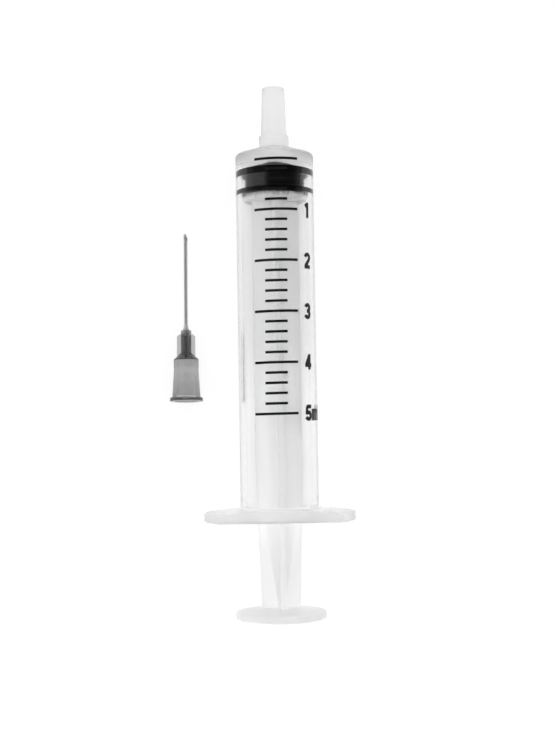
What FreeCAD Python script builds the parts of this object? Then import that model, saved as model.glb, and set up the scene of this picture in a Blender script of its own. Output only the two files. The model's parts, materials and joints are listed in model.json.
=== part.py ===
import FreeCAD, Part
import math
import os
import Sketcher

# A 5 ml syringe with a slip-tip nozzle, and a needle lying beside it.
# Lengths are in millimetres. Every piece is drawn about its own Y axis, which points to the nozzle or
# the needle's point, and is then laid on the table, the plane z = 0, as it would come to rest.

document = FreeCAD.newDocument("syringe_with_needle")
sheet = document.addObject("Spreadsheet::Sheet", "Sizes")

SIZES = [
    # Barrel
    ("bore", 12.0),
    ("barrel_wall", 0.9),
    ("barrel_length", 64.65),
    ("shoulder_angle", 18.0),
    ("shoulder_round", 0.6),
    ("bore_end_setback", 1.45),
    ("mouth_chamfer", 0.35),
    ("keeper_height", 0.15),
    ("keeper_width", 1.0),
    ("keeper_place", 3.2),
    # Finger flange
    ("flange_width", 26.6),
    ("flange_flats", 16.0),
    ("flange_rim", 1.5),
    ("flange_root", 2.3),
    ("flange_round", 0.3),
    ("root_round", 0.5),
    # Nozzle
    ("collar_width", 5.2),
    ("collar_length", 2.2),
    ("nozzle_tip", 3.97),
    ("nozzle_length", 8.5),
    ("nozzle_round", 0.25),
    ("luer_taper", 0.06),
    ("lumen", 2.1),
    # Scale
    ("capacity", 5),
    ("marks_per_ml", 5),
    ("long_mark", 7.85),
    ("short_mark", 3.9),
    ("mark_width", 0.45),
    ("ink", 0.03),
    # Stopper
    ("stopper_clearance", 0.03),
    ("stopper_length", 4.3),
    ("ring_land", 0.85),
    ("ring_slope", 0.3),
    ("ring_round", 0.2),
    ("waist_width", 10.5),
    ("nose_tip", 2.4),
    ("home_gap", 0.3),
    ("dose", 0.12),
    # Plunger rod
    ("rod_length", 74.5),
    ("press_width", 15.8),
    ("press_rim", 1.2),
    ("press_middle", 1.8),
    ("press_round", 0.3),
    ("press_groove_depth", 0.25),
    ("press_groove_width", 0.6),
    ("press_groove_pitch", 1.5),
    ("press_grooves", 3),
    ("rib_thickness", 1.1),
    ("rib_clearance", 1.9),
    ("rib_rear_width", 6.7),
    ("rib_taper", 26.0),
    ("disc_clearance", 0.5),
    ("disc_thickness", 1.1),
    ("neck_width", 4.0),
    ("neck_length", 1.3),
    ("head_width", 5.4),
    ("head_length", 1.6),
    ("head_lead", 0.6),
    ("snap_gap", 0.1),
    ("snap_clearance", 0.06),
    ("rod_turn", 8.0),
    # Needle hub
    ("socket_mouth", 4.3),
    ("socket_depth", 7.5),
    ("funnel_length", 0.7),
    ("rim_width", 6.0),
    ("rim_flats", 5.7),
    ("rim_edge", 0.55),
    ("rim_thickness", 0.9),
    ("socket_outside", 5.1),
    ("socket_waist", 4.45),
    ("socket_length", 6.0),
    ("band_width", 4.55),
    ("band_length", 1.6),
    ("flare_length", 1.2),
    ("hub_nose", 1.9),
    ("hub_length", 12.9),
    ("hub_round", 0.15),
    ("fin_span", 3.3),
    ("fin_thickness", 0.5),
    ("fin_setback", 0.75),
    ("fin_corner", 0.4),
    ("fin_bite", 0.2),
    # Cannula and adhesive
    ("cannula_outside", 0.72),
    ("cannula_bore", 0.41),
    ("cannula_reach", 18.0),
    ("bevel_length", 1.9),
    ("lancet_length", 1.15),
    ("lancet_turn", 40.0),
    ("bevel_roll", 65.0),
    ("glue_well", 1.3),
    ("glue_depth", 1.4),
    ("glue_rise", 1.1),
    ("glue_shoulder", 0.35),
    ("glue_swell", 0.12),
    # Places on the table
    ("needle_aside", 16.52),
    ("needle_along", 21.2),
    ("needle_turn", -0.2),
    # How far a cut runs past what it cuts
    ("cut_past", 1.0),
]

for row, (size_name, size_value) in enumerate(SIZES, start=1):
    sheet.set(f"A{row}", size_name)
    sheet.set(f"B{row}", str(size_value))
    sheet.setAlias(f"B{row}", size_name)
document.recompute()
NAMES = {size_name for size_name, size_value in SIZES}
SAME_PLACE = 1e-4


def with_sheet(text):
    """An expression in size names, with each name pointing at its cell."""
    words = []
    word = ""
    for letter in text + " ":
        if letter.isalnum() or letter == "_":
            word += letter
            continue
        words.append("Sizes." + word if word in NAMES else word)
        words.append(letter)
        word = ""
    return "".join(words).strip()


def number(text):
    """The value of an expression in size names."""
    return float(sheet.evalExpression(with_sheet(text)))


# Places that several pieces share, as expressions in the sizes.
BORE_RADIUS = "bore / 2"
BARREL_RADIUS = "(bore / 2 + barrel_wall)"
LUMEN_RADIUS = "lumen / 2"
BORE_END = "(barrel_length - bore_end_setback)"
ZERO_MARK = f"({BORE_END} - home_gap)"
ML = "(1000 / (pi * bore ^ 2 / 4))"
SHOULDER_RISE = f"(({BARREL_RADIUS} - collar_width / 2) * tan(shoulder_angle * 1 deg))"
COLLAR_START = f"(barrel_length + {SHOULDER_RISE})"
COLLAR_END = f"({COLLAR_START} + collar_length)"
NOZZLE_END = f"({COLLAR_END} + nozzle_length)"
RING_RADIUS = "(bore / 2 - stopper_clearance)"
STOPPER_REAR = f"({ZERO_MARK} - dose * {ML} - stopper_length)"
ROD_FRONT = f"({STOPPER_REAR} - snap_gap)"
CANNULA_RADIUS = "cannula_outside / 2"
SOCKET_END = "(socket_mouth / 2 - luer_taper * socket_depth / 2)"
FUNNEL_END = "(socket_depth + funnel_length)"
CANNULA_LENGTH = f"(hub_length - {FUNNEL_END} + cannula_reach)"


def new_body(label):
    body = document.addObject("PartDesign::Body", label)
    body.Label = label
    return body


def origin_part(body, role):
    """One of a body's own origin planes or axes."""
    return next(item for item in body.Origin.OriginFeatures if item.Role == role)


def outline(body, name, plane, corners, turn=0.0):
    """A closed sketch of straight sides, whose corners are pairs of expressions in the sizes."""
    sketch = body.newObject("Sketcher::SketchObject", name)
    sketch.AttachmentSupport = (origin_part(body, plane), [""])
    sketch.MapMode = "FlatFace"
    sketch.AttachmentOffset = FreeCAD.Placement(
        FreeCAD.Vector(), FreeCAD.Rotation(FreeCAD.Vector(0, 1, 0), turn)
    )
    points = [FreeCAD.Vector(number(across), number(along), 0) for across, along in corners]
    for start, end in zip(points, points[1:] + points[:1]):
        sketch.addGeometry(Part.LineSegment(start, end), False)
    for side in range(len(corners)):
        following = (side + 1) % len(corners)
        sketch.addConstraint(Sketcher.Constraint("Coincident", side, 2, following, 1))
    for side, (across, along) in enumerate(corners):
        pin_corner(sketch, side, "DistanceX", across, -2)
        pin_corner(sketch, side, "DistanceY", along, -1)
    return sketch


def pin_corner(sketch, side, kind, text, axis):
    """Hold one coordinate of a corner at an expression, or on the sketch's axis when it is 0."""
    if text == "0":
        sketch.addConstraint(Sketcher.Constraint("PointOnObject", side, 1, axis))
        return
    index = sketch.addConstraint(Sketcher.Constraint(kind, -1, 1, side, 1, number(text)))
    sketch.setExpression(f"Constraints[{index}]", with_sheet(text))


def turned(body, sketch, name, angle=None, cut=False):
    """Turn a sketch about the body's Y axis, all the way round or by an expression of an angle."""
    kind = "PartDesign::Groove" if cut else "PartDesign::Revolution"
    feature = body.newObject(kind, name)
    feature.Profile = sketch
    feature.ReferenceAxis = (origin_part(body, "Y_Axis"), [""])
    feature.Angle = 360.0
    if angle:
        feature.Midplane = True
        feature.setExpression("Angle", with_sheet(angle))
    return feature


def padded(body, sketch, name, thickness):
    """Give a sketch a thickness, half of it on each side of its plane."""
    feature = body.newObject("PartDesign::Pad", name)
    feature.Profile = sketch
    feature.Midplane = True
    feature.setExpression("Length", with_sheet(thickness))
    return feature


def cut_through(body, sketch, name, span):
    """Cut a sketch out of the body, half of the span on each side of its plane."""
    feature = body.newObject("PartDesign::Pocket", name)
    feature.Profile = sketch
    feature.Midplane = True
    feature.setExpression("Length", with_sheet(span))
    return feature


def around(body, feature, name, copies):
    """Repeat a feature evenly about the body's Y axis."""
    pattern = body.newObject("PartDesign::PolarPattern", name)
    pattern.Originals = [feature]
    pattern.Axis = (origin_part(body, "Y_Axis"), [""])
    pattern.Angle = 360.0
    pattern.Occurrences = copies
    body.Tip = pattern
    return pattern


def along(body, feature, name, step, copies):
    """Repeat a feature along the body's Y axis. Step and copies are expressions."""
    pattern = body.newObject("PartDesign::LinearPattern", name)
    pattern.Originals = [feature]
    pattern.Direction = (origin_part(body, "Y_Axis"), [""])
    pattern.Mode = "Spacing"
    pattern.setExpression("Offset", with_sheet(step))
    pattern.setExpression("Occurrences", with_sheet(copies))
    body.Tip = pattern
    return pattern


def rounded(body, name, radius, circles):
    """Fillet the round edges that lie at the given places: pairs of radius and height along Y."""
    document.recompute()
    base = body.Tip
    wanted = []
    for index, edge in enumerate(base.Shape.Edges, start=1):
        if any(edge_is_at(edge, number(across), number(height)) for across, height in circles):
            wanted.append(f"Edge{index}")
    feature = body.newObject("PartDesign::Fillet", name)
    feature.Base = (base, wanted)
    feature.setExpression("Radius", with_sheet(radius))
    return feature


def edge_is_at(edge, across, height):
    """Is an edge a circle or an arc about the Y axis, of this radius and at this height?"""
    if not isinstance(edge.Curve, Part.Circle):
        return False
    centre = edge.Curve.Center
    off_axis = math.hypot(centre.x, centre.z)
    return (
        abs(edge.Curve.Radius - across) < SAME_PLACE
        and abs(centre.y - height) < SAME_PLACE
        and off_axis < SAME_PLACE
    )


def build_barrel():
    """The barrel: tube, shoulder, collar, nozzle, finger flange and the ridge that keeps the plunger in."""
    body = new_body("barrel")
    keeper_low = "(keeper_place - keeper_width / 2)"
    keeper_high = "(keeper_place + keeper_width / 2)"
    section = outline(body, "barrel_section", "XY_Plane", [
        ("bore / 2 + mouth_chamfer", "0"),
        ("flange_width / 2", "0"),
        ("flange_width / 2", "flange_rim"),
        (BARREL_RADIUS, "flange_root"),
        (BARREL_RADIUS, "barrel_length"),
        ("collar_width / 2", COLLAR_START),
        ("collar_width / 2", COLLAR_END),
        ("nozzle_tip / 2 + luer_taper * nozzle_length / 2", COLLAR_END),
        ("nozzle_tip / 2", NOZZLE_END),
        (LUMEN_RADIUS, NOZZLE_END),
        (LUMEN_RADIUS, f"{BORE_END} + ({BORE_RADIUS} - {LUMEN_RADIUS}) * tan(shoulder_angle * 1 deg)"),
        (BORE_RADIUS, BORE_END),
        (BORE_RADIUS, keeper_high),
        ("bore / 2 - keeper_height", "keeper_place"),
        (BORE_RADIUS, keeper_low),
        (BORE_RADIUS, "mouth_chamfer"),
    ])
    turned(body, section, "barrel_turned")
    rounded(body, "shoulder_rounded", "shoulder_round", [(BARREL_RADIUS, "barrel_length")])
    rounded(body, "root_rounded", "root_round", [
        (BARREL_RADIUS, "flange_root"),
        ("collar_width / 2", COLLAR_START),
    ])
    rounded(body, "flange_rounded", "flange_round", [
        ("flange_width / 2", "0"),
        ("flange_width / 2", "flange_rim"),
    ])
    rounded(body, "nozzle_rounded", "nozzle_round", [
        ("nozzle_tip / 2", NOZZLE_END),
        ("collar_width / 2", COLLAR_END),
    ])
    flat = outline(body, "flat_outline", "YZ_Plane", [
        ("0", "flange_flats / 2"),
        ("flange_root + cut_past", "flange_flats / 2"),
        ("flange_root + cut_past", "flange_width / 2 + cut_past"),
        ("0", "flange_width / 2 + cut_past"),
    ])
    one_flat = cut_through(body, flat, "one_flat", "flange_width + cut_past")
    around(body, one_flat, "flats", 2)
    return body


def build_graduation():
    """The printed scale: a short mark at each step, and a long one over it at each millilitre."""
    body = new_body("graduation")
    full_mark = f"({ZERO_MARK} - capacity * {ML})"
    short_one = mark(body, "short_mark", full_mark)
    along(body, short_one, "short_marks", f"{ML} / marks_per_ml", "capacity * marks_per_ml + 1")
    long_one = mark(body, "long_mark", full_mark)
    along(body, long_one, "long_marks", ML, "capacity + 1")
    return body


def mark(body, width, height):
    """One printed line: a thin strip bent round the top of the barrel."""
    section = outline(body, f"{width}_section", "YZ_Plane", [
        (f"{height} - mark_width / 2", BARREL_RADIUS),
        (f"{height} + mark_width / 2", BARREL_RADIUS),
        (f"{height} + mark_width / 2", f"{BARREL_RADIUS} + ink"),
        (f"{height} - mark_width / 2", f"{BARREL_RADIUS} + ink"),
    ])
    return turned(body, section, f"{width}_strip", f"2 * asin({width} / 2 / {BARREL_RADIUS})")


def build_stopper():
    """The rubber stopper: two sealing rings, a waist, a nose, and the socket for the rod's head."""
    body = new_body("stopper")
    entry = "(neck_width / 2 + snap_clearance)"
    chamber = "(head_width / 2 + snap_clearance)"
    lip = "(neck_length - 2 * snap_gap)"
    chamber_end = f"({lip} + head_length + 2 * snap_gap)"
    nose_end = f"(stopper_length + ({RING_RADIUS} - nose_tip / 2) * tan(shoulder_angle * 1 deg))"
    section = outline(body, "stopper_section", "XY_Plane", [
        (entry, "0"),
        (RING_RADIUS, "0"),
        (RING_RADIUS, "ring_land"),
        ("waist_width / 2", "ring_land + ring_slope"),
        ("waist_width / 2", "stopper_length - ring_land - ring_slope"),
        (RING_RADIUS, "stopper_length - ring_land"),
        (RING_RADIUS, "stopper_length"),
        ("nose_tip / 2", nose_end),
        ("0", nose_end),
        ("0", chamber_end),
        (chamber, chamber_end),
        (chamber, lip),
        (entry, lip),
    ])
    turned(body, section, "stopper_turned")
    rounded(body, "rings_rounded", "ring_round", [
        (RING_RADIUS, "0"),
        (RING_RADIUS, "stopper_length"),
    ])
    return body


def build_plunger_rod():
    """The plunger: thumb press, four crossed ribs, front disc, and the neck and head in the stopper."""
    body = new_body("plunger_rod")
    press = outline(body, "press_section", "XY_Plane", [
        ("0", "0"),
        ("press_width / 2", "0"),
        ("press_width / 2", "press_rim"),
        ("rib_rear_width / 2", "press_middle"),
        ("0", "press_middle"),
    ])
    turned(body, press, "press_turned")
    rounded(body, "press_rounded", "press_round", [
        ("press_width / 2", "0"),
        ("press_width / 2", "press_rim"),
    ])
    rib_front = f"({BORE_RADIUS} - rib_clearance)"
    rib_end = "(rod_length - disc_thickness / 2)"
    rib = outline(body, "rib_outline", "XY_Plane", [
        ("0", "press_rim / 2"),
        ("rib_rear_width / 2", "press_rim / 2"),
        ("rib_rear_width / 2", "press_middle"),
        (rib_front, "rib_taper"),
        (rib_front, rib_end),
        ("0", rib_end),
    ])
    one_rib = padded(body, rib, "one_rib", "rib_thickness")
    around(body, one_rib, "ribs", 4)
    head_end = "rod_length + neck_length + head_length"
    front = outline(body, "front_section", "XY_Plane", [
        ("0", "rod_length - disc_thickness"),
        (f"{BORE_RADIUS} - disc_clearance", "rod_length - disc_thickness"),
        (f"{BORE_RADIUS} - disc_clearance", "rod_length"),
        ("neck_width / 2", "rod_length"),
        ("neck_width / 2", "rod_length + neck_length"),
        ("head_width / 2", "rod_length + neck_length"),
        ("head_width / 2", f"{head_end} - head_lead"),
        ("head_width / 2 - head_lead", head_end),
        ("0", head_end),
    ])
    turned(body, front, "front_turned")
    for ring in range(int(number("press_grooves"))):
        outer = f"(press_width / 2 - press_groove_pitch * {ring + 1})"
        groove = outline(body, f"groove_{ring + 1}_section", "XY_Plane", [
            (f"{outer} - press_groove_width", "0"),
            (outer, "0"),
            (outer, "press_groove_depth"),
            (f"{outer} - press_groove_width", "press_groove_depth"),
        ])
        turned(body, groove, f"groove_{ring + 1}", cut=True)
    return body


def build_needle_hub():
    """The needle's hub: tapered socket, rim with flats, band, flare, and a nose with four fins."""
    body = new_body("needle_hub")
    band_start = "socket_length"
    band_end = "(socket_length + band_length)"
    flare_end = f"({band_end} + flare_length)"
    section = outline(body, "hub_section", "XY_Plane", [
        ("socket_mouth / 2", "0"),
        ("rim_width / 2", "0"),
        ("rim_width / 2", "rim_edge"),
        ("socket_outside / 2", "rim_thickness"),
        ("socket_waist / 2", band_start),
        ("band_width / 2", band_start),
        ("band_width / 2", band_end),
        ("hub_nose / 2", flare_end),
        ("hub_nose / 2", "hub_length"),
        ("glue_well / 2", "hub_length"),
        (CANNULA_RADIUS, "hub_length - glue_depth"),
        (CANNULA_RADIUS, FUNNEL_END),
        (SOCKET_END, "socket_depth"),
    ])
    turned(body, section, "hub_turned")
    fin_top = "(hub_length - fin_setback)"
    fin = outline(body, "fin_outline", "XY_Plane", [
        ("hub_nose / 2 - fin_bite", flare_end),
        ("fin_span / 2", f"{band_end} + fin_bite"),
        ("fin_span / 2", f"{fin_top} - fin_corner"),
        ("fin_span / 2 - fin_corner", fin_top),
        ("hub_nose / 2 - fin_bite", fin_top),
    ])
    one_fin = padded(body, fin, "one_fin", "fin_thickness")
    around(body, one_fin, "fins", 4)
    flat = outline(body, "rim_flat_outline", "YZ_Plane", [
        ("0", "rim_flats / 2"),
        ("rim_thickness", "rim_flats / 2"),
        ("rim_thickness", "rim_width / 2 + cut_past"),
        ("0", "rim_width / 2 + cut_past"),
    ])
    one_flat = cut_through(body, flat, "one_rim_flat", "rim_width + cut_past")
    around(body, one_flat, "rim_flats", 2)
    rounded(body, "hub_rounded", "hub_round", [
        ("band_width / 2", band_end),
        ("hub_nose / 2", "hub_length"),
    ])
    return body


def build_cannula():
    """The steel tube, with its point ground by one long bevel and two short side facets."""
    body = new_body("cannula")
    length = CANNULA_LENGTH
    section = outline(body, "tube_section", "XY_Plane", [
        ("cannula_bore / 2", "0"),
        (CANNULA_RADIUS, "0"),
        (CANNULA_RADIUS, length),
        ("cannula_bore / 2", length),
    ])
    turned(body, section, "tube_turned")
    lancet_start = f"-{CANNULA_RADIUS} * cos(lancet_turn * 1 deg)"
    ground(body, "bevel", f"-{CANNULA_RADIUS}", "bevel_length", 0.0)
    ground(body, "left_facet", lancet_start, "lancet_length", number("lancet_turn"))
    ground(body, "right_facet", lancet_start, "lancet_length", -number("lancet_turn"))
    return body


def ground(body, name, start, drop, turn):
    """Grind the cannula's point with a flat that falls by the drop over the tube's width."""
    slope = f"({drop} / cannula_outside)"
    wedge = outline(body, f"{name}_outline", "XY_Plane", [
        (start, CANNULA_LENGTH),
        (f"{start} + 2 * cannula_outside", f"{CANNULA_LENGTH} - 2 * cannula_outside * {slope}"),
        (f"{start} + 2 * cannula_outside", f"{CANNULA_LENGTH} + cut_past"),
        (start, f"{CANNULA_LENGTH} + cut_past"),
    ], turn)
    cut_through(body, wedge, name, "2 * cannula_outside")


def build_adhesive():
    """The adhesive: it fills the well in the hub's nose and climbs the cannula a little."""
    body = new_body("adhesive")
    section = outline(body, "adhesive_section", "XY_Plane", [
        (CANNULA_RADIUS, "hub_length - glue_depth"),
        ("glue_well / 2", "hub_length"),
        (f"{CANNULA_RADIUS} + glue_swell", "hub_length + glue_shoulder"),
        (CANNULA_RADIUS, "hub_length + glue_rise"),
    ])
    turned(body, section, "adhesive_turned")
    return body


def resting_angle(rear, front):
    """The angle in radians at which a piece lies nose down on two rounded contacts.

    Each contact is the centre of its rounding, along and above the axis, and the rounding's radius.
    """
    rear_along, rear_above, rear_radius = rear
    front_along, front_above, front_radius = front
    length = math.hypot(front_along - rear_along, front_above - rear_above)
    rise = math.atan2(front_above - rear_above, front_along - rear_along)
    return rise - math.asin((front_radius - rear_radius) / length)


def laid_down(rear, front, aside, ahead, turn):
    """The placement that lays a piece on the table on its two contacts."""
    angle = resting_angle(rear, front)
    rear_along, rear_above, rear_radius = rear
    height = rear_radius - rear_above * math.cos(angle) + rear_along * math.sin(angle)
    nose_down = FreeCAD.Rotation(FreeCAD.Vector(1, 0, 0), -math.degrees(angle))
    aim = FreeCAD.Rotation(FreeCAD.Vector(0, 0, 1), turn)
    return FreeCAD.Placement(FreeCAD.Vector(aside, ahead, height), aim * nose_down)


def syringe_placement():
    """The syringe lies on a flat of its finger flange and on the shoulder of its barrel."""
    rim_slope = number(f"(flange_root - flange_rim) / (flange_width / 2 - {BARREL_RADIUS})")
    flat_front = number("flange_rim") + rim_slope * number("(flange_width - flange_flats) / 2")
    rear = (flat_front, -number("flange_flats / 2"), 0.0)
    round_radius = number("shoulder_round")
    back = round_radius / math.tan(math.radians(90 + number("shoulder_angle")) / 2)
    front = (number("barrel_length") - back, round_radius - number(BARREL_RADIUS), round_radius)
    return laid_down(rear, front, 0.0, 0.0, 0.0)


def needle_placement():
    """The needle lies on a flat of its hub's rim and on the cannula, where the bevel leaves it whole."""
    heel = number("bevel_length") * (1 - math.sin(math.radians(number("bevel_roll")))) / 2
    rim_slope = number("(rim_thickness - rim_edge) / (rim_width - socket_outside)")
    flat_front = number("rim_edge") + rim_slope * number("rim_width - rim_flats")
    rear = (flat_front, -number("rim_flats / 2"), 0.0)
    front = (number("hub_length + cannula_reach") - heel, -number(CANNULA_RADIUS), 0.0)
    return laid_down(rear, front, -number("needle_aside"), number("needle_along"), number("needle_turn"))


def along_axis(distance, roll=0.0):
    """A placement that slides a piece along the axis and turns it about the axis."""
    return FreeCAD.Placement(
        FreeCAD.Vector(0, distance, 0), FreeCAD.Rotation(FreeCAD.Vector(0, 1, 0), roll)
    )


barrel = build_barrel()
graduation = build_graduation()
stopper = build_stopper()
plunger_rod = build_plunger_rod()
needle_hub = build_needle_hub()
cannula = build_cannula()
adhesive = build_adhesive()
document.recompute()

syringe = syringe_placement()
needle = needle_placement()
PLACES = {
    barrel: syringe,
    graduation: syringe,
    stopper: syringe * along_axis(number(STOPPER_REAR)),
    plunger_rod: syringe * along_axis(number(f"{ROD_FRONT} - rod_length"), number("rod_turn")),
    needle_hub: needle,
    cannula: needle * along_axis(number(FUNNEL_END), -number("bevel_roll")),
    adhesive: needle,
}
for piece, place in PLACES.items():
    piece.Placement = place
document.recompute()

# The origin goes under the middle of everything, on the table.
whole = FreeCAD.BoundBox()
for piece in PLACES:
    whole.add(piece.Shape.optimalBoundingBox(False, False))
to_middle = FreeCAD.Placement(FreeCAD.Vector(-whole.Center.x, -whole.Center.y, 0), FreeCAD.Rotation())
for piece, place in PLACES.items():
    piece.Placement = to_middle * place
document.recompute()

for item in document.Objects:
    if "Invalid" in item.State or "Error" in item.State:
        raise RuntimeError(f"{item.Label} failed: {item.State}")
for piece in PLACES:
    if piece.Shape.isNull() or not piece.Shape.isValid():
        raise RuntimeError(f"{piece.Label} is not a valid solid")

os.makedirs("parts", exist_ok=True)
for piece in PLACES:
    piece.Shape.exportStep(f"parts/{piece.Label}.step")
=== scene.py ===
import json
import math

import bmesh
import bpy
from mathutils import Matrix, Vector


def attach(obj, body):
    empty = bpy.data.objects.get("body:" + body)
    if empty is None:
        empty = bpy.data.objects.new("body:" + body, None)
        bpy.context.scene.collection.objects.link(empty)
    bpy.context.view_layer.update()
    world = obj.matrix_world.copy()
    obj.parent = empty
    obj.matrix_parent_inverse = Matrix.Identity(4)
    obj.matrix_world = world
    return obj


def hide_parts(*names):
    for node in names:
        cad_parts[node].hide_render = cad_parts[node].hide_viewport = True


# A 5 ml syringe with a slip-tip nozzle, and a needle lying beside it, on a white table.
# Lengths are in metres, and each turned piece is drawn about its own Y axis, which points to the nozzle
# or to the needle's point.

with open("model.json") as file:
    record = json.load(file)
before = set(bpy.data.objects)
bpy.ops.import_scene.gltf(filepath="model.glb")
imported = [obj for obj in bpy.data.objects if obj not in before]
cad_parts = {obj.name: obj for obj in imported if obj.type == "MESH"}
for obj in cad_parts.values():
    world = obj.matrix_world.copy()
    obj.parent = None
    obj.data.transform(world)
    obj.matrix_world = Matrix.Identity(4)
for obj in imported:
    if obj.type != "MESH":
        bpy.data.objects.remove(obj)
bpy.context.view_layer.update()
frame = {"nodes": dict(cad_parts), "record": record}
MM = 0.001

# Table, camera and light
# The table is white and endless. Five wide lamps light everything evenly from above and from all sides,
# and show in no gloss. What the steel and rubber mirror is a panel behind the thumb press and a faint
# one on the left.


class Channel:
    """One output of a node. Sums, differences and products of channels and numbers add Math nodes."""

    def __init__(self, tree, output):
        self.tree = tree
        self.output = output

    def maths(self, operation, first, second):
        return self.tree.node("ShaderNodeMath", {"operation": operation}, {0: first, 1: second})

    def __add__(self, other):
        return self.maths("ADD", self, other)

    def __sub__(self, other):
        return self.maths("SUBTRACT", self, other)

    def __rsub__(self, other):
        return self.maths("SUBTRACT", other, self)

    def __mul__(self, other):
        return self.maths("MULTIPLY", self, other)

    def __truediv__(self, other):
        return self.maths("DIVIDE", self, other)

    def __mod__(self, other):
        return self.maths("MODULO", self, other)

    __radd__ = __add__
    __rmul__ = __mul__


class Tree:
    """A node tree that is written as calls, one for each node."""

    def __init__(self, tree):
        self.tree = tree
        self.tree.nodes.clear()

    def node(self, kind, settings, sockets, output=0):
        """Add a node with its settings, then the values or links of its inputs, and give one output."""
        made = self.tree.nodes.new(kind)
        for name, value in settings.items():
            if name == "stops":
                set_stops(made.color_ramp, value)
            else:
                setattr(made, name, value)
        for name, value in sockets.items():
            if isinstance(value, Channel):
                self.tree.links.new(value.output, made.inputs[name])
            else:
                made.inputs[name].default_value = value
        if not made.outputs:
            return None
        return Channel(self, made.outputs[output])


def set_stops(ramp, stops):
    """Give a colour ramp its stops, as pairs of place and lightness."""
    while len(ramp.elements) < len(stops):
        ramp.elements.new(1.0)
    for element, (place, lightness) in zip(ramp.elements, stops):
        element.position = place
        element.color = (lightness, lightness, lightness, 1.0)


def grey(value):
    return (value, value, value, 1.0)


def new_material(name):
    material = bpy.data.materials.new(name)
    material.use_nodes = True
    return material


def seen_directly(tree):
    """1 for what the camera sees, also in gloss and through clear plastic, and 0 for light on dull faces."""
    path = {name: tree.node("ShaderNodeLightPath", {}, {}, name) for name in (
        "Is Camera Ray", "Is Glossy Ray", "Is Transmission Ray", "Diffuse Depth"
    )}
    either = tree.node("ShaderNodeMath", {"operation": "MAXIMUM"}, {
        0: path["Is Camera Ray"],
        1: path["Is Glossy Ray"],
    })
    looked_at = tree.node("ShaderNodeMath", {"operation": "MAXIMUM"}, {
        0: either,
        1: path["Is Transmission Ray"],
    })
    undimmed = tree.node("ShaderNodeMath", {"operation": "LESS_THAN"}, {0: path["Diffuse Depth"], 1: 0.5})
    return looked_at * undimmed


TABLE_RADIUS = 6.0
TABLE_DROP = 0.02 * MM
TABLE_WHITE = 0.85
TABLE_GLOW = 1.02
SHADOW_DEPTH = 0.15
SHADOW_NEAR = 0.12
SHADOW_FAR = 0.5

table_mesh = bmesh.new()
bmesh.ops.create_circle(table_mesh, cap_ends=True, segments=96, radius=TABLE_RADIUS)
bmesh.ops.translate(table_mesh, verts=table_mesh.verts, vec=(0, 0, -TABLE_DROP))
table_data = bpy.data.meshes.new("table")
table_mesh.to_mesh(table_data)
table_mesh.free()
table = bpy.data.objects.new("table", table_data)
bpy.context.scene.collection.objects.link(table)

table_material = new_material("table_white")
tree = Tree(table_material.node_tree)
lit = tree.node("ShaderNodeBsdfDiffuse", {}, {"Color": grey(TABLE_WHITE)})
shadowed = tree.node("ShaderNodeBsdfDiffuse", {}, {"Color": grey(SHADOW_DEPTH)})
where = tree.node("ShaderNodeTexCoord", {}, {}, "Object")
# Near the part the glow leaves room for the lamps, so that a faint shadow shows. Far off it is full.
distance = tree.node("ShaderNodeVectorMath", {"operation": "LENGTH"}, {0: where}, "Value")
brightness = tree.node("ShaderNodeMapRange", {"interpolation_type": "SMOOTHSTEP"}, {
    "Value": distance,
    "From Min": SHADOW_NEAR,
    "From Max": SHADOW_FAR,
    "To Min": TABLE_GLOW - SHADOW_DEPTH,
    "To Max": TABLE_GLOW,
})
glow = tree.node("ShaderNodeEmission", {}, {"Color": grey(1.0), "Strength": brightness})
shown = tree.node("ShaderNodeAddShader", {}, {0: shadowed, 1: glow})
surface = tree.node("ShaderNodeMixShader", {}, {0: seen_directly(tree), 1: lit, 2: shown})
tree.node("ShaderNodeOutputMaterial", {}, {"Surface": surface})
table_data.materials.append(table_material)

# Gloss shows a dim room with a dark top, so that the black rubber stays black under the barrel's curve.
# Through clear plastic the room is white but for its top and a dark screen on the right.
ROOM_LIGHT = 0.12
ROOM_TOP = 0.04
ROOM_GLOSS = 0.35

world = bpy.data.worlds.new("room")
bpy.context.scene.world = world
world.use_nodes = True
tree = Tree(world.node_tree)
direction = tree.node("ShaderNodeTexCoord", {}, {}, "Generated")
aside, ahead, height = (
    tree.node("ShaderNodeSeparateXYZ", {}, {"Vector": direction}, axis) for axis in "XYZ"
)
to_one_side = tree.node("ShaderNodeMath", {"operation": "ABSOLUTE"}, {0: ahead})
high, top, right, beside = (
    tree.node("ShaderNodeMapRange", {"interpolation_type": "SMOOTHSTEP"}, {
        "Value": value,
        "From Min": start,
        "From Max": end,
    })
    for value, start, end in (
        (height, 0.22, 0.5),
        (height, 0.78, 0.93),
        (aside, -0.1, 0.2),
        (to_one_side, 0.5, 0.3),
    )
)
mirrored = ROOM_GLOSS - high * (ROOM_GLOSS - ROOM_TOP)
screened = tree.node("ShaderNodeMath", {"operation": "MAXIMUM"}, {0: top, 1: right * beside})
through = 1 - screened * (1 - ROOM_TOP)
gloss = tree.node("ShaderNodeLightPath", {}, {}, "Is Reflection Ray")
seen = seen_directly(tree)
strength = seen * (mirrored * gloss + through * (1 - gloss)) + (1 - seen) * ROOM_LIGHT
background = tree.node("ShaderNodeBackground", {}, {"Color": grey(1.0), "Strength": strength})
tree.node("ShaderNodeOutputWorld", {}, {"Surface": background})


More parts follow.
